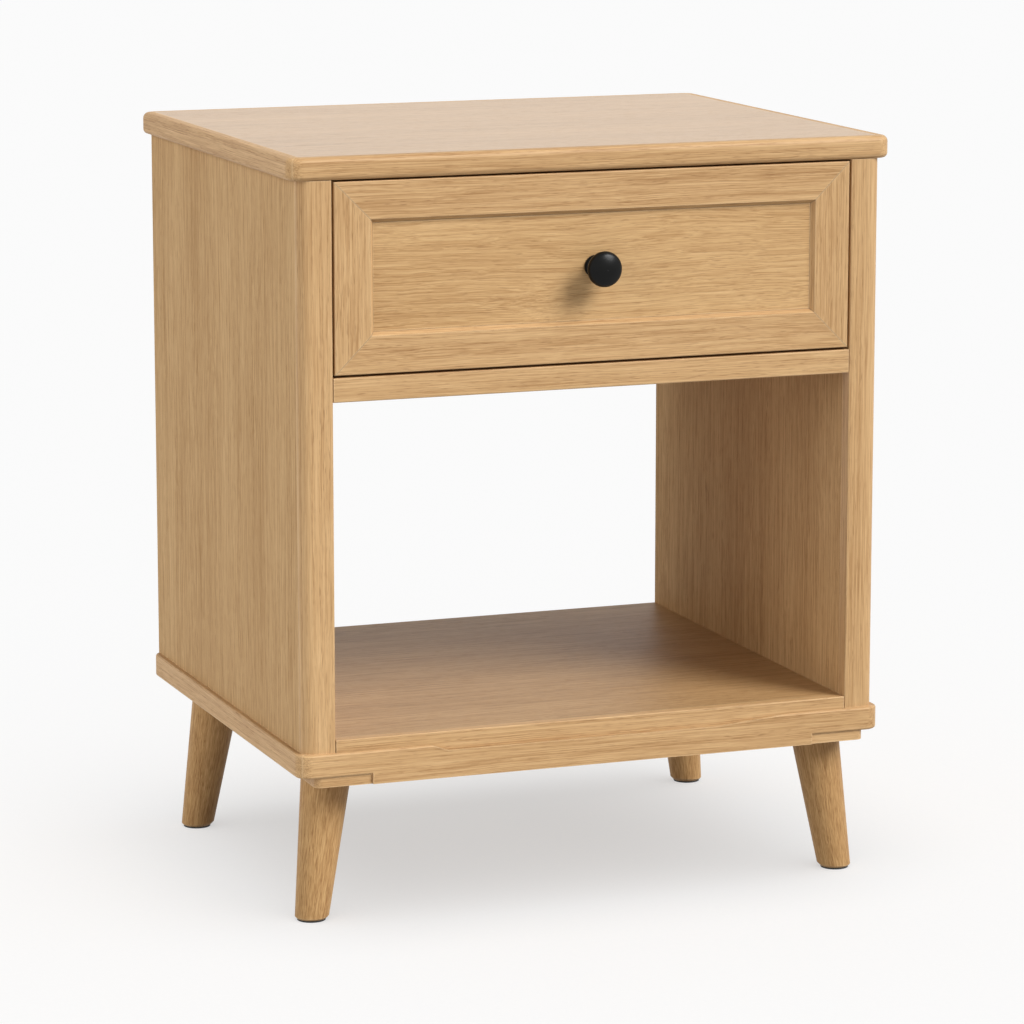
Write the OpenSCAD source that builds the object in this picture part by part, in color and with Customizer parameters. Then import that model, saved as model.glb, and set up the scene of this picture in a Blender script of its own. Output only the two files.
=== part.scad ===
// Nightstand with one drawer over an open shelf, on four splayed tapered legs.
// Millimetres, +Z up. The origin is on the floor, at the centre of the footprint with the knob
// counted in. Every module below is drawn in the case's own axes, with Y = 0 on the front edges of
// the side panels, +Y to the back and X = 0 on the centre line; in_frame() puts it on the origin.

/* [Overall] */
// Width across the outer faces of the two side panels
case_w = 490; // [400:5:600]
// Depth of the side panels, front edge to back edge
case_d = 405; // [335:2.5:490]
// Height from the floor to the upper face of the top
total_h = 611; // [505:1:735]

/* [Top] */
// Thickness of the top
top_t = 18; // [16:1:25]
// How far the top stands out past each side panel
top_side_overhang = 8.5; // [2:0.5:15]
// How far the top stands out past the front edges of the side panels
top_front_overhang = 2; // [0:1:12]
// How far the top stands out past the back edges of the side panels
top_back_overhang = 5; // [0:1:15]
// Plan radius of the corners of the top
top_corner_r = 12; // [10:1:12]
// Radius of the round-over on the upper edge of the top
top_round_upper = 5; // [3:0.5:7]
// Radius of the round-over on the lower edge of the top
top_round_lower = 4; // [2:0.5:6]

/* [Carcass] */
// Thickness of the side panels
side_t = 26; // [21.5:0.1:31.5]
// Depth of the solid lipping on the front edge of each side panel
side_lipping_d = 12; // [12:1:16]
// Radius of the rounded outer front corner of each side panel
side_corner_r = 10; // [3:1:11]
// Height of the drawer opening
drawer_bay_h = 153.5; // [127:0.1:185]
// Thickness of the board under the drawer
divider_t = 19; // [18:1:25]
// Thickness of the bottom shelf
shelf_t = 18; // [16:1:22]
// Depth of the solid lipping on the front edges of the two boards
board_lipping_d = 8; // [5:1:15]
// Gap between the ends of these lippings and the side panels
lipping_end_gap = 0.5; // [0.2:0.1:1]
// Radius of the softened edges of these lippings
lipping_arris_r = 1; // [0.5:0.25:2]
// Thickness of the panel that closes the back of the drawer bay
back_panel_t = 6; // [4:1:8]
// Distance from the back edges of the side panels to the back panel
back_panel_inset = 7; // [4:1:12]

/* [Base] */
// Gap between the front of the bottom shelf and the base frame
shelf_gap = 0.6; // [0.2:0.1:1]
// Height of the rails of the base frame
base_rail_h = 19; // [16:1:25]
// Width of the rails of the base frame, seen from above
base_rail_w = 22; // [18:1:24]
// How far the base frame stands out past each side panel
base_side_out = 5; // [0:1:8]
// How far the base frame stands out past the front edges of the side panels
base_front_out = 3; // [2:0.5:8]
// How far the base frame stands out past the back edges of the side panels
base_back_out = 3; // [2:0.5:8]
// Plan radius of the corners of the base frame
base_corner_r = 12; // [10:1:16]
// Radius of the softened long edges of the base frame
base_arris_r = 2; // [1:0.5:3]
// How far the upper face of the bottom shelf stands above the base frame
shelf_rise = 10; // [8:1:14]
// Depth of the long shallow cut in the upper edge of the front rail
relief_depth = 5; // [2:0.5:6]
// Distance from the outer face of the left side panel to the start of that cut
relief_left_in = 105; // [40:1:120]
// Distance from the outer face of the right side panel to the end of that cut
relief_right_in = 79; // [20:1:120]
// Length of the short ramp at the left end of that cut
relief_left_ramp = 14; // [5:1:40]
// Length of the long ramp at its right end
relief_right_ramp = 60; // [5:1:80]
// Thickness of the corner blocks below the base frame, which its front and back rails reach down past
block_t = 8; // [6:1:12]
// How far the corner blocks stand back from the face of the base frame, front and back
block_setback = 2; // [1:1:6]
// How far the corner blocks stand in from the outer face of each side panel
block_side_in = 9; // [4:1:11]

/* [Legs] */
// Height from the floor to the corner blocks
leg_h = 116; // [80:1:160]
// Radius of a leg where it meets its corner block
leg_top_r = 20; // [16:0.5:24]
// Radius of a leg at the floor
leg_foot_r = 13.4; // [10:0.2:16]
// Distance from the side of a corner block to the rim of its leg, at the upper end
leg_edge_in = 3.5; // [2:0.5:10]
// Distance from the front edges of the side panels to the axes of the front legs, at the upper end
leg_front_in = 45; // [40:1:60]
// Distance from the back edges of the side panels to the axes of the back legs, at the upper end
leg_back_in = 62; // [50:1:75]
// How far the foot of a leg lies outside its upper end, across the width
leg_splay_x = 16; // [0:1:24]
// How far the foot of a leg lies outside its upper end, across the depth
leg_splay_y = 9; // [0:1:24]
// Thickness of the glide under each foot
glide_t = 1.5; // [1:0.5:5]

/* [Drawer front] */
// Gap between the drawer front and the side panels, each side
front_gap_side = 1.8; // [1:0.1:3]
// Gap between the drawer front and the underside of the top
front_gap_top = 1.5; // [1:0.1:3]
// Gap between the drawer front and the board below it
front_gap_bottom = 2; // [1:0.1:3]
// Thickness of the drawer front
front_t = 19; // [16:1:22]
// Width of the mitred frame of the drawer front
frame_w = 29.5; // [24:0.5:36]
// Width of the bevel on the inner edge of the frame
bevel_w = 3; // [1:0.5:5]
// How far the panel lies behind the face of the frame
panel_recess = 4; // [2:0.5:6]
// Radius of the softened long edges of the frame
frame_arris_r = 1; // [0.5:0.5:2]

/* [Drawer box] */
// Thickness of the sides, the inner front and the back of the drawer box
box_t = 12; // [10:0.5:15]
// Gap between the rear of the drawer box and the panel behind it
box_rear_gap = 23; // [10:1:60]
// Gap between the upper edges of the drawer box and the upper edge of the drawer front
box_top_gap = 14.5; // [10:0.5:20]
// Height of the drawer box above the lower edge of the drawer front
box_lift = 8.5; // [6:0.5:12]
// Thickness of the drawer bottom
bottom_t = 6; // [4:1:8]
// Height of the drawer bottom above the lower edges of the drawer box
bottom_lift = 12; // [8:1:16]

/* [Slides] */
// Width that one ball-bearing slide takes up between the side panel and the drawer box
slide_w = 12.7; // [12.7:0.1:15.3]
// Height of the fixed member of a slide
slide_h = 45; // [37:1:54]
// Height of the centre line of the slides above the lower edges of the drawer box
slide_lift = 53; // [40:1:60]
// Sheet thickness of the slides
slide_sheet = 1.2; // [1:0.1:1.5]

/* [Knob] */
// Diameter of the knob
knob_d = 28.4; // [24:0.2:36]
// How far the knob stands out from the face of the drawer front panel
knob_out = 27; // [22:0.5:32]
// Diameter of the foot of the knob
knob_foot_d = 18.5; // [16:0.5:20]
// Diameter of the neck of the knob
knob_neck_d = 14; // [11:0.5:15]

/* [Fixings] */
// Diameter of the dowels in the carcass
dowel_d = 8; // [6:1:8]
// Diameter of the dowels in the drawer box
box_dowel_d = 6; // [5:1:6]
// Diameter of the cam housings
cam_d = 15; // [12:1:15]
// Diameter of the bolts that the cams pull on
cam_bolt_d = 6; // [5:0.5:7]
// Diameter of the bolts in the upper ends of the legs
leg_bolt_d = 8; // [6:1:8]

/* [Hidden] */
$fn = 64;
// Slack between a fixing and its hole, on the radius
fit = 0.05;
// Slack at the end of a blind hole
hole_end = 1;
// Overlap that makes a cut run clean through a face
cut = 1;

// Radius about a corner's axis that the rounded bands keep clear of
corner_core = 2;
top_lipping_w = top_corner_r - corner_core;

half_w = case_w / 2;
inner_w = half_w - side_t;
side_mid = half_w - side_t / 2;

z_base = leg_h + block_t;
z_side = z_base + base_rail_h;
z_shelf = z_side + shelf_rise;
z_shelf_under = z_shelf - shelf_t;
z_top_under = total_h - top_t;
z_divider = z_top_under - drawer_bay_h;
z_divider_under = z_divider - divider_t;

// The drawer front, its frame and its panel
front_half_w = inner_w - front_gap_side;
z_front = z_divider + front_gap_bottom;
front_h = drawer_bay_h - front_gap_top - front_gap_bottom;
z_front_mid = z_front + front_h / 2;
panel_edge = frame_w + bevel_w;
tongue_l = 8;
tongue_t = 6;
tongue_back = 5;
tongue_slack = 0.2;

// The drawer box
box_half_w = inner_w - slide_w;
z_box = z_front + box_lift;
box_h = front_h - box_lift - box_top_gap;
box_back_y = case_d - back_panel_inset - back_panel_t - box_rear_gap;
groove_d = 5;
z_bottom = z_box + bottom_lift;
z_slide = z_box + slide_lift;

// The knob
knob_face_y = panel_recess;
knob_tip_y = knob_face_y - knob_out;
knob_bore_d = 4;
knob_bore_l = 12;
knob_screw_head_d = 8;
knob_screw_head_t = 2.4;

// Places of the fixings along the depth
top_dowel_y = [60, case_d / 2, case_d - 60];
top_cam_y = [110, case_d - 105];
board_dowel_y = [60, case_d - 70];
board_cam_y = [110, case_d - 120];
rail_screw_y = [80, case_d / 2, case_d - 80];
shelf_screw_in = 13;
cam_depth = 12.5;
cam_reach = 24;
cam_bolt_in = 10;
cam_bolt_head_r = cam_bolt_d / 2 + 1.2;
cam_bolt_head_t = 2.5;

// Wood screws
screw_d = 4;
screw_head_d = 7.6;
screw_head_t = 2.4;

// Members of a slide, measured from the face of the side panel inwards
middle_off = 3;
inner_off = 5.5;
race_gap = 1.3;
middle_h = slide_h - 2 * (slide_sheet + race_gap);
inner_h = middle_h - 2 * (slide_sheet + race_gap);
slide_y = front_t + 3;
slide_l = box_back_y - slide_y - 1;
slide_screw_y = [40, slide_l / 2 - 12, slide_l - 32];
slide_screw_in = box_t - 2;
slide_screw_d = 3.5;
slide_screw_head_d = 6.4;
slide_screw_head_t = 1.1;

// Legs: the axis runs from the foot on the floor to the upper end under the frame
leg_x = half_w - block_side_in - leg_edge_in - leg_top_r;
leg_y_front = leg_front_in;
leg_y_back = case_d - leg_back_in;
leg_lean = atan2(norm([leg_splay_x, leg_splay_y]), leg_h);
leg_len = norm([leg_splay_x, leg_splay_y, leg_h]);
leg_chamfer = 1.5;
leg_bolt_below = 40;
leg_bolt_above = 14;
nut_flange_r = leg_bolt_d / 2 + 5.5;
nut_flange_t = 1.5;
nut_barrel_r = leg_bolt_d / 2 + 1.2;

// Corner blocks
block_half_w = half_w - block_side_in;
block_front_y = block_setback - base_front_out;
block_back_y = case_d + base_back_out - block_setback;
block_w = 2 * (leg_top_r + leg_edge_in);
block_past_leg = leg_top_r + 16;
block_corner_r = 6;

origin_y = (case_d + top_back_overhang + knob_tip_y) / 2;

// ---------- shared shapes ----------

// Puts a piece drawn in the case's axes on the origin of the whole object.
module in_frame() {
    translate([0, -origin_y, 0]) children();
}

// Box between two opposite corners.
module block(low, high) {
    translate(low) cube(high - low);
}

// Flat rectangle between any two opposite corners.
module rectangle(a, b) {
    translate([min(a.x, b.x), min(a.y, b.y)]) square([abs(a.x - b.x), abs(a.y - b.y)]);
}

// Copies a shape onto the left side, mirrored.
module mirrored_pair() {
    children();
    mirror([1, 0, 0]) children();
}

// Round bar along Y.
module bar_y(x, y0, y1, z, r) {
    translate([x, y0, z]) rotate([-90, 0, 0]) cylinder(h = y1 - y0, r = r);
}

// Round bar along X.
module bar_x(x0, x1, y, z, r) {
    translate([x0, y, z]) rotate([0, 90, 0]) cylinder(h = x1 - x0, r = r);
}

// Section of an edge strip: x runs from the inside to the face, y from the bottom to the top.
module edge_section(w, h, r_upper, r_lower) {
    square([w - max(r_upper, r_lower), h]);
    translate([0, r_lower]) square([w, h - r_upper - r_lower]);
    if (r_upper > r_lower) square([w - r_lower, h - r_upper]);
    if (r_lower > r_upper) translate([0, r_lower]) square([w - r_upper, h - r_lower]);
    translate([w - r_upper, h - r_upper]) circle(r = r_upper);
    translate([w - r_lower, r_lower]) circle(r = r_lower);
}

// Strip with its face on y = 0 looking to -Y, its length along X, its ends mitred and its outer
// corners rounded in plan to radius r. Its rounded edges are on a band that stops short of the
// corner axes; a strip wider than that band has a plain mitred body behind it.
module mitred_strip(l, w, h, r, r_upper, r_lower) {
    band = r - corner_core;
    body_y = r - 2 * corner_core;
    translate([-l / 2 + r, band, 0]) rotate([90, 0, 90])
        linear_extrude(l - 2 * r) mirror([1, 0]) edge_section(band, h, r_upper, r_lower);
    mirrored_pair() translate([l / 2 - r, r, 0]) rotate([0, 0, 270])
        rotate_extrude(angle = 45) translate([corner_core, 0]) edge_section(band, h, r_upper, r_lower);
    if (w > band)
        linear_extrude(h)
            polygon([[-l / 2 + body_y, body_y], [l / 2 - body_y, body_y], [l / 2 - w, w], [-l / 2 + w, w]]);
}

// ---------- fixings, each also used as the cutter of its own hole ----------

// Dowels that hold the top and the board under the drawer to the side panels.
module dowel_set(slack, end) {
    r = dowel_d / 2 + slack;
    mirrored_pair() {
        for (y = top_dowel_y)
            translate([side_mid, y, z_top_under - 20 - end]) cylinder(h = 30 + 2 * end, r = r);
        for (y = board_dowel_y)
            bar_x(inner_w - 22 - end, inner_w + 12 + end, y, z_divider_under + divider_t / 2, r);
    }
}

// Cam housings: in the underside of the board, and in the inner faces of the side panels.
module cam_housing_set(slack) {
    r = cam_d / 2 + slack;
    mirrored_pair() {
        for (y = board_cam_y)
            translate([inner_w - cam_reach, y, z_divider_under]) cylinder(h = cam_depth + slack, r = r);
        for (y = top_cam_y)
            bar_x(inner_w, inner_w + cam_depth + slack, y, z_top_under - cam_reach, r);
    }
}

// Straight shank of a cam bolt along +X from the middle of its housing, with its head.
module cam_bolt(slack, end) {
    translate([-cam_bolt_head_t, 0, 0]) rotate([0, 90, 0])
        cylinder(h = cam_bolt_head_t, r = cam_bolt_head_r + slack);
    rotate([0, 90, 0]) cylinder(h = cam_reach + cam_bolt_in + end, r = cam_bolt_d / 2 + slack);
}

// Cam bolts: across into the side panels from the board, and up into the top.
module cam_bolt_set(slack, end) {
    mirrored_pair() {
        for (y = board_cam_y)
            translate([inner_w - cam_reach, y, z_divider_under + 8]) cam_bolt(slack, end);
        for (y = top_cam_y)
            translate([inner_w + 8, y, z_top_under - cam_reach]) rotate([0, -90, 0]) cam_bolt(slack, end);
    }
}

// One wood screw pointing up, with its head at z = 0 and below.
module wood_screw(l, slack, end) {
    translate([0, 0, -screw_head_t]) cylinder(h = screw_head_t + slack, r = screw_head_d / 2 + slack);
    cylinder(h = l + end, r = screw_d / 2 + slack);
}

// Screws up through the base frame into the side panels and the shelf, and up through the corner
// blocks into the base frame.
module base_screw_set(slack, end) {
    rail_x = half_w + base_side_out - base_rail_w / 2;
    shelf_x = inner_w / 3;
    block_x = block_half_w - 36;
    mirrored_pair() {
        for (y = rail_screw_y)
            translate([rail_x - base_side_out / 2, y, z_base + screw_head_t]) wood_screw(36, slack, end);
        for (y = [shelf_screw_in, case_d - shelf_screw_in])
            translate([shelf_x, y, leg_h + screw_head_t])
                wood_screw(z_shelf_under - leg_h + 9, slack, end);
        for (y = [block_front_y + 9, block_back_y - 9])
            translate([block_x, y, leg_h + screw_head_t])
                wood_screw(block_t + 6, slack, end);
    }
}

// Screws of the fixed slide members, heads inwards, on the right-hand side.
module slide_screws_out(slack, end) {
    for (y = slide_screw_y) {
        bar_x(inner_w - slide_sheet - slide_screw_head_t, inner_w - slide_sheet, slide_y + y, z_slide,
            slide_screw_head_d / 2 + slack);
        bar_x(inner_w - slide_sheet - slack, inner_w + 13 + end, slide_y + y, z_slide,
            slide_screw_d / 2 + slack);
    }
}

// Screws of the drawer slide members, heads outwards, on the right-hand side.
module slide_screws_in(slack, end) {
    for (y = slide_screw_y) {
        bar_x(box_half_w + slide_sheet, box_half_w + slide_sheet + slide_screw_head_t, slide_y + y, z_slide,
            slide_screw_head_d / 2 + slack);
        bar_x(box_half_w - slide_screw_in - end, box_half_w + slide_sheet + slack, slide_y + y, z_slide,
            slide_screw_d / 2 + slack);
    }
}

// Dowels that hold the sides of the drawer box to its inner front and its back.
module box_dowel_set(slack, end) {
    r = box_dowel_d / 2 + slack;
    mirrored_pair()
        for (z = [z_box + box_h * 0.28, z_box + box_h * 0.78]) {
            bar_y(box_half_w - box_t / 2, front_t + 4 - end, front_t + 32 + end, z, r);
            bar_y(box_half_w - box_t / 2, box_back_y - 32 - end, box_back_y - 4 + end, z, r);
        }
}

// Screws from inside the drawer box into the rails of the drawer front.
module front_screw_set(slack, end) {
    for (x = [-0.65, 0.65] * box_half_w, z = [z_box + 6, z_box + box_h - 6])
        translate([x, front_t + box_t - screw_head_t, z]) rotate([90, 0, 0])
            wood_screw(box_t - screw_head_t + 13, slack, end);
}

// ---------- legs ----------

// Stands a shape drawn along +Z from the foot on the leaning axis of a leg.
// side is -1 left or 1 right; rear is -1 front or 1 back.
module on_leg_axis(side, rear) {
    y_end = rear < 0 ? leg_y_front : leg_y_back;
    translate([side * (leg_x + leg_splay_x), y_end + rear * leg_splay_y, 0])
        rotate([0, 0, atan2(-rear * leg_splay_y, -side * leg_splay_x)])
            rotate([0, leg_lean, 0]) children();
}

// Threaded rod in the upper end of a leg.
module leg_bolt(slack, end) {
    translate([0, 0, leg_len - leg_bolt_below - end])
        cylinder(h = leg_bolt_below + leg_bolt_above + end, r = leg_bolt_d / 2 + slack);
}

// Outside of the flanged nut that sits in a corner block.
module leg_nut_body(slack) {
    translate([0, 0, leg_len + 1]) cylinder(h = block_t + 1, r = nut_barrel_r + slack);
    translate([0, 0, leg_len + block_t - 1])
        cylinder(h = nut_flange_t + 2 * slack, r = nut_flange_r + slack);
}

module leg(side, rear) {
    taper = (leg_top_r - leg_foot_r) / leg_len;
    past = 12;
    foot_y = (rear < 0 ? leg_y_front : leg_y_back) + rear * leg_splay_y;
    difference() {
        intersection() {
            on_leg_axis(side, rear) translate([0, 0, -past])
                cylinder(h = leg_len + 2 * past, r1 = leg_foot_r - taper * past,
                    r2 = leg_top_r + taper * past);
            translate([side * (leg_x + leg_splay_x / 2), foot_y - rear * leg_splay_y / 2, glide_t])
                translate([-60, -60, 0]) cube([120, 120, leg_h - glide_t]);
            translate([side * (leg_x + leg_splay_x), foot_y, glide_t])
                cylinder(h = leg_h, r1 = leg_foot_r - leg_chamfer, r2 = leg_foot_r - leg_chamfer + leg_h);
        }
        on_leg_axis(side, rear) leg_bolt(fit, hole_end);
    }
}

module corner_block(side, rear) {
    y_leg = rear < 0 ? leg_y_front : leg_y_back;
    y_outer = rear < 0 ? block_front_y : block_back_y;
    y_inner = y_leg - rear * block_past_leg;
    x_outer = side * block_half_w;
    x_inner = side * (block_half_w - block_w);
    x_round = x_outer - side * block_corner_r;
    y_round = y_outer - rear * block_corner_r;
    difference() {
        translate([0, 0, leg_h]) linear_extrude(block_t) {
            rectangle([x_inner, y_outer], [x_round, y_inner]);
            rectangle([x_inner, y_round], [x_outer, y_inner]);
            translate([x_round, y_round]) circle(r = block_corner_r);
        }
        on_leg_axis(side, rear) leg_nut_body(fit);
        on_leg_axis(side, rear) leg_bolt(fit, 0);
        base_screw_set(fit, hole_end);
    }
}

// ---------- the nodes ----------

module top_panel() {
    half = half_w + top_side_overhang - top_lipping_w;
    y_front = top_lipping_w - top_front_overhang;
    y_back = case_d + top_back_overhang - top_lipping_w;
    color("burlywood") difference() {
        union() {
            block([-half, y_front + corner_core, z_top_under], [half, y_back - corner_core, total_h]);
            block([-half + corner_core, y_front, z_top_under], [half - corner_core, y_back, total_h]);
            for (x = [-1, 1] * (half - corner_core), y = [y_front + corner_core, y_back - corner_core])
                translate([x, y, z_top_under]) cylinder(h = top_t, r = corner_core);
        }
        dowel_set(fit, hole_end);
        cam_bolt_set(fit, hole_end);
    }
}

// Lipping of the top with its face looking to -Y, drawn round the middle of a side of length l.
module top_lipping(l) {
    color("tan") mitred_strip(l, top_lipping_w, top_t, top_corner_r, top_round_upper, top_round_lower);
}

module top_front_lipping() {
    translate([0, -top_front_overhang, z_top_under]) top_lipping(case_w + 2 * top_side_overhang);
}

module top_back_lipping() {
    translate([0, case_d + top_back_overhang, z_top_under]) rotate([0, 0, 180])
        top_lipping(case_w + 2 * top_side_overhang);
}

module top_right_lipping() {
    y_middle = (case_d + top_back_overhang - top_front_overhang) / 2;
    translate([half_w + top_side_overhang, y_middle, z_top_under]) rotate([0, 0, 90])
        top_lipping(case_d + top_back_overhang + top_front_overhang);
}

module top_left_lipping() {
    mirror([1, 0, 0]) top_right_lipping();
}

module right_side_panel() {
    color("burlywood") difference() {
        block([inner_w, side_lipping_d, z_side], [half_w, case_d, z_top_under]);
        block([inner_w - cut, case_d - back_panel_inset - back_panel_t, z_divider],
            [inner_w + back_panel_t, case_d - back_panel_inset, z_top_under + cut]);
        dowel_set(fit, hole_end);
        cam_housing_set(fit);
        cam_bolt_set(fit, hole_end);
        base_screw_set(fit, hole_end);
        slide_screws_out(fit, hole_end);
    }
}

module left_side_panel() {
    mirror([1, 0, 0]) right_side_panel();
}

// Its outer front edge is well rounded and its inner one only softened.
module right_side_lipping() {
    r = side_corner_r;
    a = lipping_arris_r;
    color("tan") translate([0, 0, z_side]) linear_extrude(z_top_under - z_side) {
        rectangle([inner_w + a, 0], [half_w - r, side_lipping_d]);
        rectangle([inner_w, a], [half_w - r, side_lipping_d]);
        rectangle([half_w - r, r], [half_w, side_lipping_d]);
        translate([inner_w + a, a]) circle(r = a);
        intersection() {
            translate([half_w - r, r]) circle(r = r);
            rectangle([inner_w, 0], [half_w, side_lipping_d]);
        }
    }
}

module left_side_lipping() {
    mirror([1, 0, 0]) right_side_lipping();
}

module drawer_divider() {
    color("burlywood") difference() {
        block([-inner_w, board_lipping_d, z_divider_under], [inner_w, case_d - back_panel_inset, z_divider]);
        dowel_set(fit, hole_end);
        cam_housing_set(fit);
        cam_bolt_set(fit, hole_end);
    }
}

// Lipping on the front edge of a board of thickness t whose underside is at z_under.
module board_lipping(z_under, t) {
    a = lipping_arris_r;
    l = 2 * (inner_w - lipping_end_gap);
    color("tan") translate([-l / 2, 0, z_under]) rotate([90, 0, 90]) linear_extrude(l) {
        rectangle([a, 0], [board_lipping_d, t]);
        rectangle([0, a], [board_lipping_d, t - a]);
        for (y = [a, t - a]) translate([a, y]) circle(r = a);
    }
}

module drawer_divider_lipping() {
    board_lipping(z_divider_under, divider_t);
}

module bottom_shelf() {
    color("burlywood") difference() {
        block([-inner_w, board_lipping_d, z_shelf_under], [inner_w, case_d, z_shelf]);
        base_screw_set(fit, hole_end);
    }
}

module bottom_shelf_lipping() {
    board_lipping(z_shelf_under, shelf_t);
}

// Panel held in grooves in the side panels, standing on the board under the drawer.
module drawer_bay_back() {
    groove = back_panel_t - fit;
    y_back = case_d - back_panel_inset - fit;
    color("wheat") block([-inner_w - groove, y_back - back_panel_t + 2 * fit, z_divider + fit],
        [inner_w + groove, y_back, z_top_under - fit]);
}

// Rail of the base frame with its face looking to -Y, drawn round the middle of a side of length l.
module base_rail(l) {
    mitred_strip(l, base_rail_w, base_rail_h, base_corner_r, base_arris_r, base_arris_r);
}

// Front or back rail, which reaches down between the corner blocks to the level of the legs.
module deep_base_rail() {
    half = block_half_w - block_w;
    base_rail(case_w + 2 * base_side_out);
    block([-half, 0, -block_t], [half, base_rail_w, base_rail_h / 2]);
}

// Space the bottom shelf takes out of the base frame.
module shelf_rebate() {
    block([-inner_w, -shelf_gap, z_shelf_under], [inner_w, case_d, z_side + cut]);
}

// Long shallow cut in the upper edge of the front rail: a short ramp on the left, a long one right.
module front_relief() {
    left_start = relief_left_in - half_w;
    left_end = left_start + relief_left_ramp;
    right_end = half_w - relief_right_in;
    right_start = right_end - relief_right_ramp;
    translate([0, cut, z_side]) rotate([90, 0, 0]) linear_extrude(base_front_out + 2 * cut)
        polygon([[left_start, 0], [left_end, -relief_depth], [right_start, -relief_depth],
            [right_end, 0], [right_end, cut], [left_start, cut]]);
}

module base_front_rail() {
    color("tan") difference() {
        translate([0, -base_front_out, z_base]) deep_base_rail();
        shelf_rebate();
        front_relief();
        base_screw_set(fit, hole_end);
    }
}

module base_back_rail() {
    color("tan") difference() {
        translate([0, case_d + base_back_out, z_base]) rotate([0, 0, 180]) deep_base_rail();
        shelf_rebate();
        base_screw_set(fit, hole_end);
    }
}

module base_right_rail() {
    color("tan") difference() {
        translate([half_w + base_side_out, (case_d + base_back_out - base_front_out) / 2, z_base])
            rotate([0, 0, 90]) base_rail(case_d + base_front_out + base_back_out);
        base_screw_set(fit, hole_end);
    }
}

module base_left_rail() {
    mirror([1, 0, 0]) base_right_rail();
}

module front_left_corner_block() {
    color("tan") corner_block(-1, -1);
}

module front_right_corner_block() {
    color("tan") corner_block(1, -1);
}

module back_left_corner_block() {
    color("tan") corner_block(-1, 1);
}

module back_right_corner_block() {
    color("tan") corner_block(1, 1);
}

module front_left_leg() {
    color("peru") leg(-1, -1);
}

module front_right_leg() {
    color("peru") leg(1, -1);
}

module back_left_leg() {
    color("peru") leg(-1, 1);
}

module back_right_leg() {
    color("peru") leg(1, 1);
}

module leg_glides() {
    foot_x = leg_x + leg_splay_x;
    color("dimgray") for (x = [-foot_x, foot_x], y = [leg_y_front - leg_splay_y, leg_y_back + leg_splay_y])
        translate([x, y, 0]) cylinder(h = glide_t, r = leg_foot_r - leg_chamfer - 0.5);
}

module leg_bolts() {
    color("silver") for (side = [-1, 1], rear = [-1, 1])
        on_leg_axis(side, rear) leg_bolt(0, 0);
}

module leg_nuts() {
    color("silver") for (side = [-1, 1], rear = [-1, 1])
        on_leg_axis(side, rear) difference() {
            leg_nut_body(0);
            leg_bolt(fit, 0);
        }
}

module carcass_dowels() {
    color("wheat") dowel_set(0, 0);
}

module cam_housings() {
    color("silver") difference() {
        cam_housing_set(0);
        cam_bolt_set(fit, 0);
    }
}

module cam_bolts() {
    color("silver") cam_bolt_set(0, 0);
}

module base_screws() {
    color("silver") base_screw_set(0, 0);
}

// Channel of sheet along Y on the right-hand side: its web starts at web_x and its flanges run to
// flange_x, which may lie on either side of the web.
module channel(web_x, flange_x, h) {
    dir = flange_x > web_x ? 1 : -1;
    outline = [
        [web_x, -h / 2],
        [flange_x, -h / 2],
        [flange_x, -h / 2 + slide_sheet],
        [web_x + dir * slide_sheet, -h / 2 + slide_sheet],
        [web_x + dir * slide_sheet, h / 2 - slide_sheet],
        [flange_x, h / 2 - slide_sheet],
        [flange_x, h / 2],
        [web_x, h / 2]
    ];
    translate([0, slide_y + slide_l, z_slide]) rotate([90, 0, 0]) linear_extrude(slide_l) polygon(outline);
}

module right_slide_outer() {
    color("silver") difference() {
        channel(inner_w, inner_w - 9, slide_h);
        slide_screws_out(fit, 0);
    }
}

module left_slide_outer() {
    mirror([1, 0, 0]) right_slide_outer();
}

module right_slide_middle() {
    color("gainsboro") channel(inner_w - middle_off, inner_w - 10, middle_h);
}

module left_slide_middle() {
    mirror([1, 0, 0]) right_slide_middle();
}

module right_slide_inner() {
    color("silver") difference() {
        channel(box_half_w, inner_w - inner_off, inner_h);
        slide_screws_in(fit, 0);
    }
}

module left_slide_inner() {
    mirror([1, 0, 0]) right_slide_inner();
}

module carcass_slide_screws() {
    color("silver") mirrored_pair() slide_screws_out(0, 0);
}

module drawer_slide_screws() {
    color("silver") mirrored_pair() slide_screws_in(0, 0);
}

// Bar of the drawer front's frame, its outer edge on z = 0 and its length along X, ends mitred.
module frame_bar(l) {
    r = frame_arris_r;
    difference() {
        translate([-l / 2, 0, 0]) rotate([90, 0, 90]) linear_extrude(l) difference() {
            union() {
                polygon([[r, 0], [front_t, 0], [front_t, panel_edge], [panel_recess, panel_edge],
                    [0, frame_w], [0, r], [r, r]]);
                translate([r, r]) circle(r = r);
            }
            translate([front_t - tongue_back - tongue_t, panel_edge - tongue_l])
                square([tongue_t, tongue_l + cut]);
        }
        for (s = [-1, 1]) translate([s * l / 2, -cut, 0]) rotate([-90, 0, 0])
            linear_extrude(front_t + 2 * cut)
                polygon([[0, cut], [0, 0], [-s * (panel_edge + cut), -panel_edge - cut],
                    [s * cut, -panel_edge - cut], [s * cut, cut]]);
    }
}

module drawer_front_bottom_rail() {
    color("tan") difference() {
        translate([0, 0, z_front]) frame_bar(2 * front_half_w);
        front_screw_set(fit, hole_end);
    }
}

module drawer_front_top_rail() {
    color("tan") difference() {
        translate([0, 0, z_front + front_h]) mirror([0, 0, 1]) frame_bar(2 * front_half_w);
        front_screw_set(fit, hole_end);
    }
}

module drawer_front_left_stile() {
    color("tan") translate([-front_half_w, 0, z_front_mid]) rotate([0, 90, 0]) frame_bar(front_h);
}

module drawer_front_right_stile() {
    color("tan") translate([front_half_w, 0, z_front_mid]) rotate([0, -90, 0]) frame_bar(front_h);
}

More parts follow.
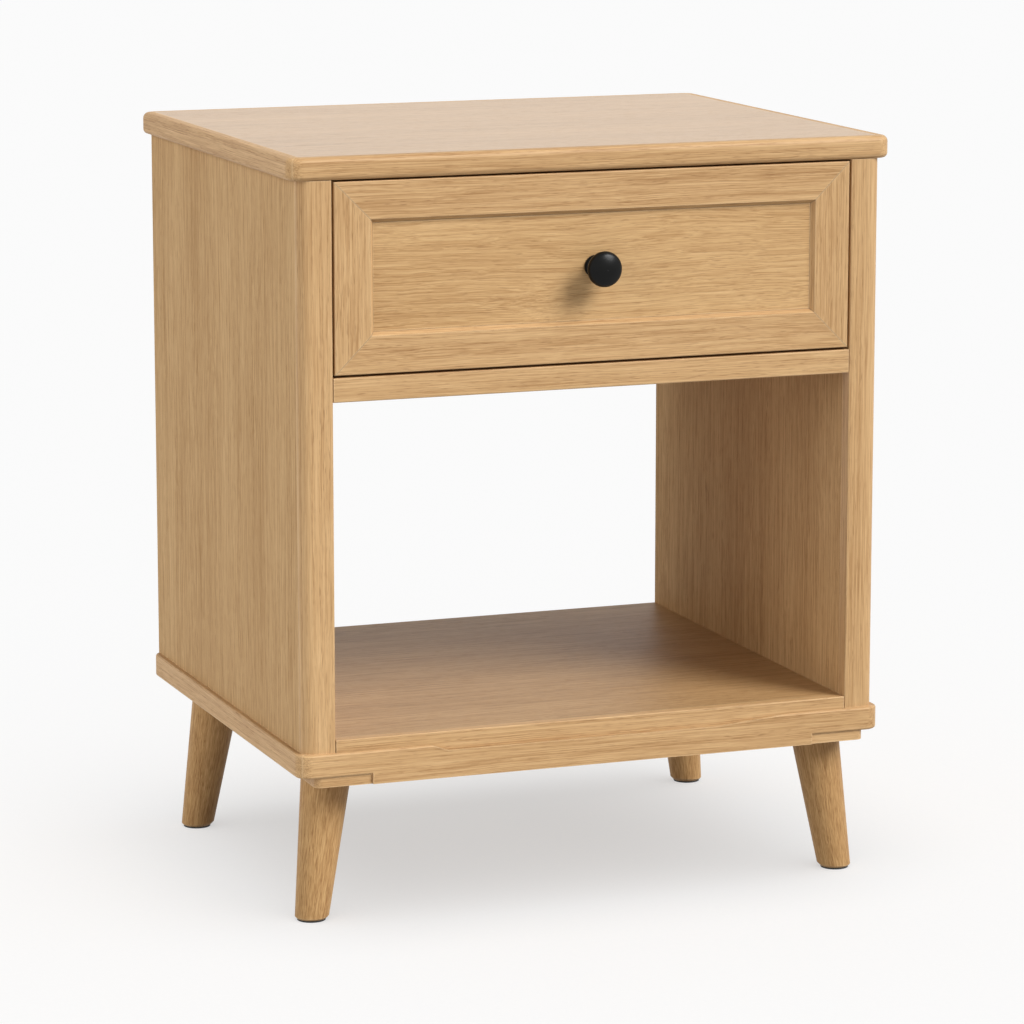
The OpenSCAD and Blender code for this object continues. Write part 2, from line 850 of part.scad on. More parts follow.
module drawer_front_panel() {
    edge = panel_edge + tongue_slack;
    tip = panel_edge - tongue_l + tongue_slack;
    y_tongue = front_t - tongue_back - tongue_t + fit;
    color("burlywood") difference() {
        union() {
            block([-front_half_w + edge, panel_recess, z_front + edge],
                [front_half_w - edge, front_t, z_front + front_h - edge]);
            block([-front_half_w + tip, y_tongue, z_front + tip],
                [front_half_w - tip, y_tongue + tongue_t - 2 * fit, z_front + front_h - tip]);
        }
        bar_y(0, panel_recess - cut, front_t + cut, z_front_mid, knob_bore_d / 2 + fit);
    }
}

module drawer_inner_front() {
    color("wheat") difference() {
        block([-box_half_w, front_t, z_box], [box_half_w, front_t + box_t, z_box + box_h]);
        block([-box_half_w + box_t - groove_d, front_t + box_t - groove_d, z_bottom - fit],
            [box_half_w - box_t + groove_d, front_t + box_t + cut, z_bottom + bottom_t + fit]);
        bar_y(0, front_t - cut, front_t + box_t + cut, z_front_mid, knob_bore_d / 2 + fit);
        box_dowel_set(fit, hole_end);
        front_screw_set(fit, hole_end);
    }
}

module drawer_right_side() {
    color("wheat") difference() {
        block([box_half_w - box_t, front_t + box_t, z_box], [box_half_w, box_back_y - box_t, z_box + box_h]);
        block([box_half_w - box_t - cut, front_t + box_t - cut, z_bottom - fit],
            [box_half_w - box_t + groove_d, box_back_y - box_t + cut, z_bottom + bottom_t + fit]);
        box_dowel_set(fit, hole_end);
        slide_screws_in(fit, hole_end);
    }
}

module drawer_left_side() {
    mirror([1, 0, 0]) drawer_right_side();
}

module drawer_back() {
    color("wheat") difference() {
        block([-box_half_w, box_back_y - box_t, z_box], [box_half_w, box_back_y, z_box + box_h]);
        block([-box_half_w + box_t - groove_d, box_back_y - box_t - cut, z_bottom - fit],
            [box_half_w - box_t + groove_d, box_back_y - box_t + groove_d, z_bottom + bottom_t + fit]);
        box_dowel_set(fit, hole_end);
    }
}

module drawer_bottom() {
    half = box_half_w - box_t + groove_d - tongue_slack;
    color("wheat") block([-half, front_t + box_t - groove_d + tongue_slack, z_bottom],
        [half, box_back_y - box_t + groove_d - tongue_slack, z_bottom + bottom_t]);
}

module drawer_box_dowels() {
    color("wheat") box_dowel_set(0, 0);
}

module drawer_front_screws() {
    color("silver") front_screw_set(0, 0);
}

// Half of the knob's outline, x the radius and y the distance from the panel: a flat foot, a cove up
// to the neck, and a head whose rim runs smoothly into its dome.
module knob_outline() {
    foot_r = knob_foot_d / 2;
    neck_r = knob_neck_d / 2;
    foot_t = 2;
    cove_r = foot_r - neck_r;
    rim_r = 5;
    rim_x = knob_d / 2 - rim_r;
    rim_y = knob_out - 7;
    reach = knob_out - rim_r;
    dome_y = (rim_x * rim_x + rim_y * rim_y - reach * reach) / (2 * (rim_y - reach));
    square([foot_r, foot_t]);
    difference() {
        square([foot_r, foot_t + cove_r]);
        translate([foot_r, foot_t + cove_r]) circle(r = cove_r);
    }
    square([neck_r, rim_y]);
    translate([0, rim_y - rim_r]) square([rim_x, rim_r]);
    translate([rim_x, rim_y]) circle(r = rim_r);
    intersection() {
        translate([0, dome_y]) circle(r = knob_out - dome_y);
        polygon([[0, rim_y - rim_r], [0, 2 * knob_out], [2 * rim_x, 2 * rim_y - dome_y], [rim_x, rim_y],
            [rim_x, rim_y - rim_r]]);
    }
}

// Turned knob, bored for its screw.
module knob() {
    color("dimgray") translate([0, knob_face_y, z_front_mid]) rotate([90, 0, 0]) difference() {
        rotate_extrude() knob_outline();
        translate([0, 0, -cut]) cylinder(h = knob_bore_l + cut, r = knob_bore_d / 2 + fit);
    }
}

// Machine screw through the drawer front into the knob, its head inside the drawer.
module knob_screw() {
    y_head = front_t + box_t;
    color("silver") {
        bar_y(0, knob_face_y - knob_bore_l + hole_end, y_head + fit, z_front_mid, knob_bore_d / 2);
        bar_y(0, y_head, y_head + knob_screw_head_t, z_front_mid, knob_screw_head_d / 2);
    }
}

in_frame() top_panel();
in_frame() top_front_lipping();
in_frame() top_back_lipping();
in_frame() top_left_lipping();
in_frame() top_right_lipping();
in_frame() left_side_panel();
in_frame() right_side_panel();
in_frame() left_side_lipping();
in_frame() right_side_lipping();
in_frame() drawer_divider();
in_frame() drawer_divider_lipping();
in_frame() bottom_shelf();
in_frame() bottom_shelf_lipping();
in_frame() drawer_bay_back();
in_frame() base_front_rail();
in_frame() base_back_rail();
in_frame() base_left_rail();
in_frame() base_right_rail();
in_frame() front_left_corner_block();
in_frame() front_right_corner_block();
in_frame() back_left_corner_block();
in_frame() back_right_corner_block();
in_frame() front_left_leg();
in_frame() front_right_leg();
in_frame() back_left_leg();
in_frame() back_right_leg();
in_frame() leg_glides();
in_frame() leg_bolts();
in_frame() leg_nuts();
in_frame() carcass_dowels();
in_frame() cam_housings();
in_frame() cam_bolts();
in_frame() base_screws();
in_frame() left_slide_outer();
in_frame() right_slide_outer();
in_frame() carcass_slide_screws();
in_frame() left_slide_middle();
in_frame() right_slide_middle();
in_frame() left_slide_inner();
in_frame() right_slide_inner();
in_frame() drawer_slide_screws();
in_frame() drawer_front_top_rail();
in_frame() drawer_front_bottom_rail();
in_frame() drawer_front_left_stile();
in_frame() drawer_front_right_stile();
in_frame() drawer_front_panel();
in_frame() drawer_inner_front();
in_frame() drawer_left_side();
in_frame() drawer_right_side();
in_frame() drawer_back();
in_frame() drawer_bottom();
in_frame() drawer_box_dowels();
in_frame() drawer_front_screws();
in_frame() knob();
in_frame() knob_screw();
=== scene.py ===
"""Nightstand with one drawer over an open shelf, in clear-lacquered oak on splayed turned legs.

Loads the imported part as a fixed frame, gives each piece of it its finish, and adds the studio: a
pale floor, soft lights and the camera. Metres, +Z up, the front of the nightstand looks to -Y.
"""

import math

import bpy
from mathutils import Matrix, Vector


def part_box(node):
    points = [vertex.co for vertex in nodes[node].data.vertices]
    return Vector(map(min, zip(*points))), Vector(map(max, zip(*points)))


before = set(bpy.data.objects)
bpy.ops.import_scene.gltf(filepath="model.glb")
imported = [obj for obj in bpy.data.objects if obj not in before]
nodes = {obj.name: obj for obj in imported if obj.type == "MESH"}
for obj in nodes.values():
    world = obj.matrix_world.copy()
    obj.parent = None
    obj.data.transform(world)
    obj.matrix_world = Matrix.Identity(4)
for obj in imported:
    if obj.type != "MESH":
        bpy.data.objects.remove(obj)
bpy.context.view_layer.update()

MM = 0.001
PER_MM = 1000.0

# Across and up from the foot of a leg to its upper end, in mm
LEG_SPLAY_X = 16.0
LEG_SPLAY_Y = 9.0
LEG_RISE = 116.0

# Thickness of one ply of the drawer box
PLY = 1.4 * MM
# Width of the arrises that carry a painted highlight, and half widths of a glue line's core and its whole
ARRIS_HIGHLIGHT_WIDTH = 1.6 * MM
GLUE_CORE = 0.15 * MM
GLUE_EDGE = 0.5 * MM


# ---------- helpers ----------

def linear(code):
    """An sRGB hex colour such as "c8a06e" as linear RGBA."""
    parts = [int(code[i:i + 2], 16) / 255 for i in (0, 2, 4)]
    return [p / 12.92 if p <= 0.04045 else ((p + 0.055) / 1.055) ** 2.4 for p in parts] + [1.0]


def add(tree, kind, inputs=None, **settings):
    """Adds one node with its settings; inputs gives sockets, by name or place, a value or a link."""
    node = tree.nodes.new(kind)
    for name, value in settings.items():
        setattr(node, name, value)
    for socket, value in (inputs or {}).items():
        if isinstance(value, bpy.types.NodeSocket):
            tree.links.new(value, node.inputs[socket])
        else:
            node.inputs[socket].default_value = value
    return node


def new_material(name):
    """An empty node material with its output, as (material, tree)."""
    material = bpy.data.materials.new(name)
    material.use_nodes = True
    tree = material.node_tree
    tree.nodes.clear()
    return material, tree


def finish_surface(tree, **inputs):
    """Joins a principled surface with these inputs to the material's output."""
    surface = add(tree, "ShaderNodeBsdfPrincipled", {k.replace("_", " "): v for k, v in inputs.items()})
    add(tree, "ShaderNodeOutputMaterial", {"Surface": surface.outputs[0]})
    return surface


# ---------- oak ----------

# Grain directions, as the way the fibres run in a piece
ALONG_X = Vector((1, 0, 0))
ALONG_Y = Vector((0, 1, 0))
ALONG_Z = Vector((0, 0, 1))

# Light, middle and dark colours of each cut, how strongly its lines and pores show, and its gloss: the
# top and the front are rubbed to satin, the boards of the case are left flat matt; the colours of the
# top and the shelf hold painted shade
OAK = {
    # The top is drawn a little darker and duller than the front: painted shade that offsets the stronger
    # light on the top
    "top veneer with painted shade": dict(light="cfab80", mid="bf9b70", dark="a37f56", lines=0.8, pores=0.3, rough=0.3,
                       gloss=0.66),
    "board veneer": dict(light="d6b384", mid="c49f71", dark="a37c50", lines=0.95, pores=0.5, rough=0.6,
                         gloss=0.06),
    # The shelf is drawn darker than the boards of the case: painted shade for the shelf lying under the
    # case
    "shelf veneer with painted shade": dict(light="c7a376", mid="b28d60", dark="927046", lines=0.9, pores=0.4, rough=0.46,
                         gloss=0.3),
    "front veneer": dict(light="d9b482", mid="c59e6d", dark="a87f50", lines=0.85, pores=0.45, rough=0.5,
                         gloss=0.3),
    "solid": dict(light="d7b282", mid="c39c6d", dark="a47b4e", lines=0.9, pores=0.5, rough=0.5,
                  gloss=0.3),
    "turned": dict(light="cca673", mid="b78f5e", dark="966d42", lines=0.9, pores=0.6, rough=0.52,
                   gloss=0.25),
}
PORE_COLOUR = "7d5630"
GLUE_COLOUR = "5a3c1e"
# Pale colour of the painted highlight along the arrises
ARRIS_HIGHLIGHT_COLOUR = "ecd2a8"


def oak(name, cut, along, place, wander, joint_lines=()):
    """European oak, planed, sanded and sprayed with a thin clear lacquer: long fine fibre lines, short
    dark open pores that stay a little rougher than the wood between them, slow changes of tone across
    a board, arrises painted paler as a highlight and drawn a little rougher, and the gloss of its cut.

    cut is a key of OAK, along the way the grain runs, place an offset in mm that gives each board its
    own stretch of wood, wander how far in mm the lines stray, and joint_lines the glue lines to draw.
    """
    look = OAK[cut]
    material, tree = new_material(name)
    own = add(tree, "ShaderNodeTexCoord").outputs["Object"]
    turn = along.rotation_difference(ALONG_X).to_euler()
    # u runs along the grain, v and w across it, all in mm
    grain = add(tree, "ShaderNodeMapping", {"Vector": own, "Rotation": turn, "Location": place,
                                            "Scale": (PER_MM,) * 3}).outputs[0]

    # The lines stray over about 200 mm, and ripple over about 40 mm
    bent = grain
    for length, width, stray in ((210.0, 46.0, wander), (38.0, 9.0, wander * 0.16)):
        spread = add(tree, "ShaderNodeVectorMath", {0: grain, 1: (1 / length, 1 / width, 1 / width)},
                     operation="MULTIPLY")
        drift = add(tree, "ShaderNodeTexNoise", {"Vector": spread.outputs[0], "Scale": 1.0, "Detail": 1.0})
        centred = add(tree, "ShaderNodeVectorMath", {0: drift.outputs["Color"], 1: (0.5,) * 3},
                      operation="SUBTRACT")
        scaled = add(tree, "ShaderNodeVectorMath", {0: centred.outputs[0], 1: (0.0, stray * 2, stray * 2)},
                     operation="MULTIPLY")
        bent = add(tree, "ShaderNodeVectorMath", {0: bent, 1: scaled.outputs[0]}).outputs[0]

    def streaks(length, width, detail, rough=0.55, source=bent):
        """Noise drawn out along the grain: features length by width mm."""
        at = add(tree, "ShaderNodeVectorMath", {0: source, 1: (1 / length, 1 / width, 1 / width)},
                 operation="MULTIPLY")
        return add(tree, "ShaderNodeTexNoise", {"Vector": at.outputs[0], "Scale": 1.0, "Detail": detail,
                                                "Roughness": rough}).outputs["Fac"]

    rings = streaks(520.0, 2.8, 2.0)
    fibres = streaks(75.0, 0.7, 2.0, 0.7)
    boards = streaks(420.0, 48.0, 1.0, source=grain)
    pores = streaks(11.0, 0.55, 1.0)

    # Sum of the three, each about its middle, spread to 0..1 for the colours
    layers = ((rings, 0.6), (fibres, 1.7), (boards, 0.5))
    total = 0.5
    for value, weight in layers:
        total = add(tree, "ShaderNodeMath", {0: value, 1: weight * look["lines"], 2: total},
                    operation="MULTIPLY_ADD").outputs[0]
    centre = 0.5 * look["lines"] * sum(weight for _, weight in layers)
    total = add(tree, "ShaderNodeMath", {0: total, 1: centre}, operation="SUBTRACT").outputs[0]
    ramp = add(tree, "ShaderNodeValToRGB", {"Fac": total})
    stops = ramp.color_ramp.elements
    stops[0].position, stops[0].color = 0.12, linear(look["dark"])
    stops[1].position, stops[1].color = 0.88, linear(look["light"])
    middle = stops.new(0.5)
    middle.color = linear(look["mid"])

    # Open pores: short dark dashes, thickest where the early wood of a ring is
    dash = add(tree, "ShaderNodeMapRange", {"Value": pores, "From Min": 0.56, "From Max": 0.72})
    early = add(tree, "ShaderNodeMapRange", {"Value": rings, "From Min": 0.62, "From Max": 0.42,
                                             "To Min": 0.25, "To Max": 1.0})
    pore = add(tree, "ShaderNodeMath", {0: dash.outputs[0], 1: early.outputs[0]}, operation="MULTIPLY")
    shade = add(tree, "ShaderNodeMath", {0: pore.outputs[0], 1: look["pores"]}, operation="MULTIPLY")
    colour = add(tree, "ShaderNodeMix", {0: shade.outputs[0], 6: ramp.outputs["Color"],
                                         7: linear(PORE_COLOUR)}, data_type="RGBA").outputs[2]

    # Glue lines at the mitres: a dark hairline, drawn up to 1 mm wide so that it shows
    for normal, offset in joint_lines:
        across = add(tree, "ShaderNodeVectorMath", {0: own, 1: normal}, operation="DOT_PRODUCT")
        off = add(tree, "ShaderNodeMath", {0: across.outputs["Value"], 1: offset}, operation="SUBTRACT")
        away = add(tree, "ShaderNodeMath", {0: off.outputs[0]}, operation="ABSOLUTE")
        hair = add(tree, "ShaderNodeMapRange", {"Value": away.outputs[0], "From Min": GLUE_CORE,
                                                "From Max": GLUE_EDGE, "To Min": 0.6, "To Max": 0.0})
        colour = add(tree, "ShaderNodeMix", {0: hair.outputs[0], 6: colour, 7: linear(GLUE_COLOUR)},
                     data_type="RGBA").outputs[2]

    # Painted highlight on the arrises: the edges are mixed toward a pale colour, as if they caught
    # the light, and their roughness is raised a little
    rounded = add(tree, "ShaderNodeBevel", {"Radius": ARRIS_HIGHLIGHT_WIDTH}, samples=4).outputs[0]
    facing = add(tree, "ShaderNodeNewGeometry").outputs["Normal"]
    turned = add(tree, "ShaderNodeVectorMath", {0: rounded, 1: facing}, operation="DOT_PRODUCT")
    arris = add(tree, "ShaderNodeMapRange", {"Value": turned.outputs["Value"], "From Min": 1.0,
                                             "From Max": 0.82, "To Max": 0.45})
    colour = add(tree, "ShaderNodeMix", {0: arris.outputs[0], 6: colour, 7: linear(ARRIS_HIGHLIGHT_COLOUR)},
                 data_type="RGBA").outputs[2]

    dull = add(tree, "ShaderNodeMath", {0: pore.outputs[0], 1: arris.outputs[0]}, operation="MAXIMUM")
    rough = add(tree, "ShaderNodeMapRange", {"Value": dull.outputs[0], "To Min": look["rough"],
                                             "To Max": look["rough"] + 0.22})
    relief = add(tree, "ShaderNodeMath", {0: fibres, 1: pore.outputs[0]}, operation="SUBTRACT")
    bump = add(tree, "ShaderNodeBump", {"Height": relief.outputs[0], "Strength": 0.35,
                                        "Distance": 0.1 * MM})
    finish_surface(tree, Base_Color=colour, Roughness=rough.outputs[0], Normal=bump.outputs[0], IOR=1.5,
                   Specular_IOR_Level=look["gloss"])
    return material


# ---------- the other materials ----------

def birch_plywood(name, along, layers_across, middle):
    """Sanded birch plywood: pale, close-grained faces with faint long lines, and edges that show the
    1.4 mm plies as alternate light and brown bands."""
    material, tree = new_material(name)
    own = add(tree, "ShaderNodeTexCoord").outputs["Object"]
    turn = along.rotation_difference(ALONG_X).to_euler()
    grain = add(tree, "ShaderNodeMapping", {"Vector": own, "Rotation": turn, "Scale": (PER_MM,) * 3})
    at = add(tree, "ShaderNodeVectorMath", {0: grain.outputs[0], 1: (1 / 90, 1 / 3.0, 1 / 3.0)},
             operation="MULTIPLY")
    lines = add(tree, "ShaderNodeTexNoise", {"Vector": at.outputs[0], "Scale": 1.0, "Detail": 3.0})
    face = add(tree, "ShaderNodeValToRGB", {"Fac": lines.outputs["Fac"]})
    face.color_ramp.elements[0].position, face.color_ramp.elements[0].color = 0.3, linear("c9a982")
    face.color_ramp.elements[1].position, face.color_ramp.elements[1].color = 0.7, linear("dec39d")
    depth = add(tree, "ShaderNodeVectorMath", {0: own, 1: layers_across}, operation="DOT_PRODUCT")
    inward = add(tree, "ShaderNodeMath", {0: depth.outputs["Value"], 1: middle}, operation="SUBTRACT")
    # Half a turn of the wave for each ply
    turns = add(tree, "ShaderNodeMath", {0: inward.outputs[0], 1: math.pi / PLY}, operation="MULTIPLY")
    wave = add(tree, "ShaderNodeMath", {0: turns.outputs[0]}, operation="SINE")
    band = add(tree, "ShaderNodeMapRange", {"Value": wave.outputs[0], "From Min": -0.25,
                                            "From Max": 0.25, "To Max": 0.55})
    # Plies show only on the edges, whose normals lie across the board's own thickness
    normal = add(tree, "ShaderNodeNewGeometry").outputs["Normal"]
    facing = add(tree, "ShaderNodeVectorMath", {0: normal, 1: layers_across}, operation="DOT_PRODUCT")
    flat = add(tree, "ShaderNodeMath", {0: facing.outputs["Value"]}, operation="ABSOLUTE")
    edge = add(tree, "ShaderNodeMath", {0: flat.outputs[0], 1: 0.5}, operation="LESS_THAN")
    ply = add(tree, "ShaderNodeMath", {0: band.outputs[0], 1: edge.outputs[0]}, operation="MULTIPLY")
    colour = add(tree, "ShaderNodeMix", {0: ply.outputs[0], 6: face.outputs["Color"],
                                         7: linear("94714a")}, data_type="RGBA")
    bump = add(tree, "ShaderNodeBump", {"Height": lines.outputs["Fac"], "Strength": 0.25,
                                        "Distance": 0.08 * MM})
    finish_surface(tree, Base_Color=colour.outputs[2], Roughness=0.5, Normal=bump.outputs[0], IOR=1.5)
    return material


def speckled(name, colours, rough, size, depth, metallic=0.0, **surface):
    """A material whose colour and roughness drift between the two given of each, and whose surface has
    a fine texture of features size mm across and depth mm deep."""
    material, tree = new_material(name)
    own = add(tree, "ShaderNodeTexCoord").outputs["Object"]
    fine = add(tree, "ShaderNodeTexNoise", {"Vector": own, "Scale": PER_MM / size, "Detail": 2.0})
    slow = add(tree, "ShaderNodeTexNoise", {"Vector": own, "Scale": PER_MM / (size * 22), "Detail": 2.0})
    ramp = add(tree, "ShaderNodeValToRGB", {"Fac": slow.outputs["Fac"]})
    ramp.color_ramp.elements[0].position, ramp.color_ramp.elements[0].color = 0.3, linear(colours[0])
    ramp.color_ramp.elements[1].position, ramp.color_ramp.elements[1].color = 0.7, linear(colours[1])
    dull = add(tree, "ShaderNodeMapRange", {"Value": slow.outputs["Fac"], "To Min": rough[0],
                                            "To Max": rough[1]})
    bump = add(tree, "ShaderNodeBump", {"Height": fine.outputs["Fac"], "Strength": 0.4,
                                        "Distance": depth * MM})
    finish_surface(tree, Base_Color=ramp.outputs["Color"], Roughness=dull.outputs[0],
                   Normal=bump.outputs[0], Metallic=metallic, **surface)
    return material


# Black powder coat on turned zinc, baked: near-black with a fine orange peel that spreads highlights
powder_coat = speckled("black_powder_coat", ("040404", "070706"), rough=(0.27, 0.35), size=0.5,
                       depth=0.012, IOR=1.5, Specular_IOR_Level=0.17)
# Black glass-filled nylon, moulded: dark grey, dull, with the fine spark texture of its mould
nylon = speckled("black_nylon", ("161616", "1e1e1e"), rough=(0.55, 0.65), size=0.4, depth=0.02,
                 IOR=1.53)
# Mild steel, rolled and bright zinc plated: blue-grey metal whose crystals cloud the gloss
zinc_steel = speckled("zinc_plated_steel", ("9da1a6", "b4b8bc"), rough=(0.28, 0.42), size=0.8,
                      depth=0.008, metallic=1.0)
# Die-cast zinc, as cast: duller and greyer than the plated steel, slightly pitted
cast_zinc = speckled("cast_zinc", ("85878a", "9a9c9f"), rough=(0.45, 0.6), size=0.6, depth=0.02,
                     metallic=1.0)
# Turned beech, unfinished: pinkish brown and dull
beech = speckled("beech", ("c49a70", "d4ad84"), rough=(0.6, 0.7), size=0.9, depth=0.03, IOR=1.5)


# ---------- which piece has which finish ----------

def paint(name, material):
    """Gives every face of a CAD node this material."""
    data = nodes[name].data
    data.materials.clear()
    data.materials.append(material)


front_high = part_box("drawer_front_top_rail")[1]
front_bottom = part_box("drawer_front_bottom_rail")[0].z

# The mitres of the drawer front run at 45 degrees through its four corners
DIAGONAL = math.sqrt(0.5)
mitre = {}
for side in (-1, 1):
    for end, z in ((1, front_high.z), (-1, front_bottom)):
        normal = Vector((side * DIAGONAL, 0, -end * DIAGONAL))
        mitre[side, end] = (tuple(normal), normal.dot(Vector((side * front_high.x, 0, z))))

# Each oak piece: its cut, the way its grain runs, and how far in mm its lines stray
BOARDS = {
    "top_panel": ("top veneer with painted shade", ALONG_X, 7.0),
    "top_front_lipping": ("solid", ALONG_X, 2.0),
    "top_back_lipping": ("solid", ALONG_X, 2.0),
    "top_left_lipping": ("solid", ALONG_Y, 2.0),
    "top_right_lipping": ("solid", ALONG_Y, 2.0),
    "left_side_panel": ("board veneer", ALONG_Z, 5.0),
    "right_side_panel": ("board veneer", ALONG_Z, 5.0),
    "left_side_lipping": ("solid", ALONG_Z, 2.0),
    "right_side_lipping": ("solid", ALONG_Z, 2.0),
    "drawer_divider": ("board veneer", ALONG_X, 5.0),
    "drawer_divider_lipping": ("solid", ALONG_X, 2.0),
    "bottom_shelf": ("shelf veneer with painted shade", ALONG_X, 6.0),
    "bottom_shelf_lipping": ("solid", ALONG_X, 2.0),
    "drawer_bay_back": ("board veneer", ALONG_Z, 5.0),
    "base_front_rail": ("solid", ALONG_X, 2.5),
    "base_back_rail": ("solid", ALONG_X, 2.5),
    "base_left_rail": ("solid", ALONG_Y, 2.5),
    "base_right_rail": ("solid", ALONG_Y, 2.5),
    "front_left_corner_block": ("solid", ALONG_X, 3.0),
    "front_right_corner_block": ("solid", ALONG_X, 3.0),
    "back_left_corner_block": ("solid", ALONG_X, 3.0),
    "back_right_corner_block": ("solid", ALONG_X, 3.0),
    "drawer_front_top_rail": ("solid", ALONG_X, 4.0),
    "drawer_front_bottom_rail": ("solid", ALONG_X, 4.0),
    "drawer_front_left_stile": ("solid", ALONG_Z, 3.0),
    "drawer_front_right_stile": ("solid", ALONG_Z, 3.0),
    "drawer_front_panel": ("front veneer", ALONG_X, 7.0),
}
GLUE_LINES = {
    "drawer_front_top_rail": (mitre[-1, 1], mitre[1, 1]),
    "drawer_front_bottom_rail": (mitre[-1, -1], mitre[1, -1]),
    "drawer_front_left_stile": (mitre[-1, 1], mitre[-1, -1]),
    "drawer_front_right_stile": (mitre[1, 1], mitre[1, -1]),
}
for order, (name, (cut, along, wander)) in enumerate(BOARDS.items()):
    place = (order * 713.0, order * 97.0, order * 41.0)
    paint(name, oak("oak_" + name, cut, along, place, wander, GLUE_LINES.get(name, ())))

# The grain of a turned leg follows its leaning axis, from its foot to its upper end
for order, name in enumerate(("front_left_leg", "front_right_leg", "back_left_leg", "back_right_leg")):
    side = 1 if name.endswith("right_leg") else -1
    rear = 1 if name.startswith("back") else -1
    lean = Vector((-side * LEG_SPLAY_X, -rear * LEG_SPLAY_Y, LEG_RISE)).normalized()
    place = (order * 517.0, order * 131.0, 300.0)
    paint(name, oak("oak_" + name, "turned", lean, place, wander=3.0))

for name, along, across in (
    ("drawer_inner_front", ALONG_X, ALONG_Y),
    ("drawer_back", ALONG_X, ALONG_Y),
    ("drawer_left_side", ALONG_Y, ALONG_X),
    ("drawer_right_side", ALONG_Y, ALONG_X),
    ("drawer_bottom", ALONG_X, ALONG_Z),
):
    low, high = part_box(name)
    paint(name, birch_plywood("birch_plywood_" + name, along, tuple(across), (low + high).dot(across) / 2))

paint("knob", powder_coat)
paint("leg_glides", nylon)
paint("cam_housings", cast_zinc)
for name in ("carcass_dowels", "drawer_box_dowels"):
    paint(name, beech)
for name in (
    "leg_bolts",
    "leg_nuts",
    "cam_bolts",
    "base_screws",
    "left_slide_outer",
    "right_slide_outer",
    "left_slide_middle",
    "right_slide_middle",
    "left_slide_inner",
    "right_slide_inner",
    "carcass_slide_screws",
    "drawer_slide_screws",
    "drawer_front_screws",
    "knob_screw",
):
    paint(name, zinc_steel)


# ---------- floor, lights, camera ----------

def studio_floor():
    """A sheet of matt white acrylic lit from below, far larger than the view, so that only the soft
    shadow under the nightstand shows on it."""
    half = 30.0
    mesh = bpy.data.meshes.new("studio_floor")
    mesh.from_pydata([(-half, -half, 0), (half, -half, 0), (half, half, 0), (-half, half, 0)], [],
                     [(0, 1, 2, 3)])
    floor = bpy.data.objects.new("studio_floor", mesh)
    bpy.context.scene.collection.objects.link(floor)
    material, tree = new_material("lit_white_acrylic")
    own = add(tree, "ShaderNodeTexCoord").outputs["Object"]
    # Faint clouds of matting, some 4 mm across
    clouds = add(tree, "ShaderNodeTexNoise", {"Vector": own, "Scale": PER_MM / 4, "Detail": 3.0})
    shade = add(tree, "ShaderNodeMapRange", {"Value": clouds.outputs["Fac"], "To Min": 0.42,
                                             "To Max": 0.44})
    colour = add(tree, "ShaderNodeCombineColor", {i: shade.outputs[0] for i in range(3)})
    # The sheet throws little of its own light up at the nightstand
    ray = add(tree, "ShaderNodeLightPath")
    lit = add(tree, "ShaderNodeMapRange", {"Value": ray.outputs["Is Diffuse Ray"], "To Min": 0.56,
                                           "To Max": 0.0})
    finish_surface(tree, Base_Color=colour.outputs[0], Roughness=1.0, Specular_IOR_Level=0.0,
                   Emission_Color=(1.0, 1.0, 1.0, 1.0), Emission_Strength=lit.outputs[0])
    mesh.materials.append(material)
    return floor


def far_light(name, way, strength, spread, receivers, blockers=None):
    """A large soft light far off, shining the given way on some pieces of the set, where only the
    blockers cast a shadow if they are given; spread is its width in degrees."""
    data = bpy.data.lights.new(name, "SUN")
    data.energy, data.angle = strength, math.radians(spread)
    light = bpy.data.objects.new(name, data)
    light.rotation_mode = "QUATERNION"
    light.rotation_quaternion = Vector(way).to_track_quat("-Z", "Y")
    light.light_linking.receiver_collection = receivers
    light.light_linking.blocker_collection = blockers
    bpy.context.scene.collection.objects.link(light)
    return light


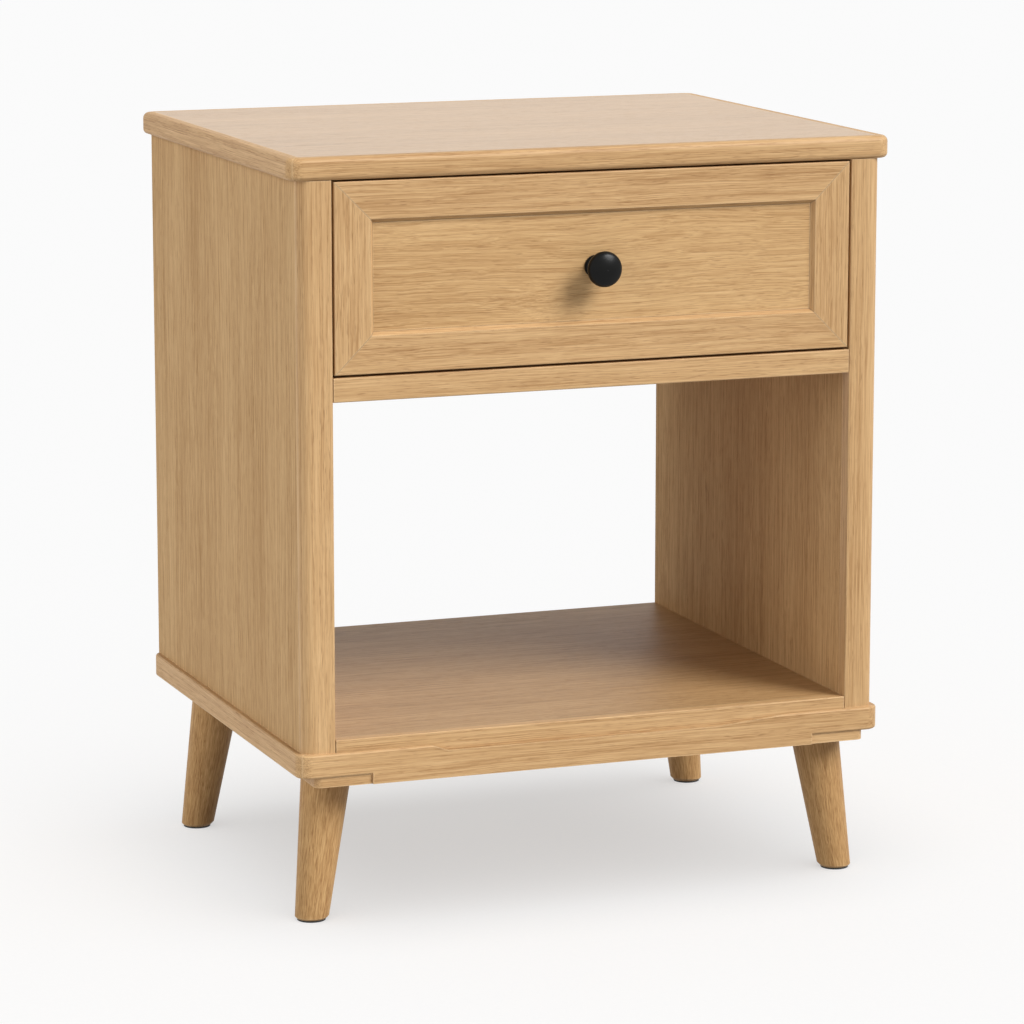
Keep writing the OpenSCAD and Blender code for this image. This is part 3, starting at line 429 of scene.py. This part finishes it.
def flagged(name, pieces, state):
    """The part of the set that a light works on: only these pieces, or all but these pieces."""
    group = bpy.data.collections.new(name)
    for piece in pieces:
        group.objects.link(piece)
    for member in group.collection_objects:
        member.light_linking.link_state = state
    return group


LOW_PIECES = ("base_front_rail", "base_back_rail", "base_left_rail", "base_right_rail", "bottom_shelf",
              "bottom_shelf_lipping", "front_left_leg", "front_right_leg", "back_left_leg",
              "back_right_leg", "leg_glides")

floor = studio_floor()
only_floor = flagged("lit_floor", [floor], "INCLUDE")
all_but_floor = flagged("lit_nightstand", [floor], "EXCLUDE")
near_floor = flagged("near_floor", [nodes[name] for name in LOW_PIECES], "INCLUDE")
far_light("key_light", (-20, 24, -26), strength=3.35, spread=30.0, receivers=all_but_floor)
left_fill = far_light("left_fill", (20, 3, -5), strength=1.85, spread=60.0, receivers=all_but_floor)
# The fill only lifts the shadows, and makes no glare on the top
left_fill.visible_glossy = False
far_light("floor_light", (-2, 8, -26), strength=2.3, spread=100.0, receivers=only_floor,
          blockers=near_floor)

world = bpy.data.worlds.new("studio_air")
world.use_nodes = True
air = world.node_tree
air.nodes.clear()
# The air lights softly, but is seen and mirrored as the white of the walls beyond it
ray = add(air, "ShaderNodeLightPath")
power = add(air, "ShaderNodeMapRange", {"Value": ray.outputs["Is Diffuse Ray"], "To Min": 0.985,
                                        "To Max": 0.24})
glow = add(air, "ShaderNodeBackground", {"Color": (1, 1, 1, 1), "Strength": power.outputs[0]})
add(air, "ShaderNodeOutputWorld", {"Surface": glow.outputs[0]})
bpy.context.scene.world = world
bpy.context.scene.view_settings.view_transform = "Standard"

# How far the camera looks down and turns to the right, in radians
LOOK_DOWN = 0.18416
TURN_RIGHT = 0.36099
camera_data = bpy.data.cameras.new("camera")
camera_data.sensor_width = 36.0
camera_data.lens = 155.815
camera_data.clip_start, camera_data.clip_end = 0.1, 100.0
camera = bpy.data.objects.new("camera", camera_data)
camera.location = (-1.283124, -3.402871, 0.964419)
camera.rotation_euler = (math.pi / 2 - LOOK_DOWN, 0.0, -TURN_RIGHT)
bpy.context.scene.collection.objects.link(camera)
bpy.context.scene.camera = camera
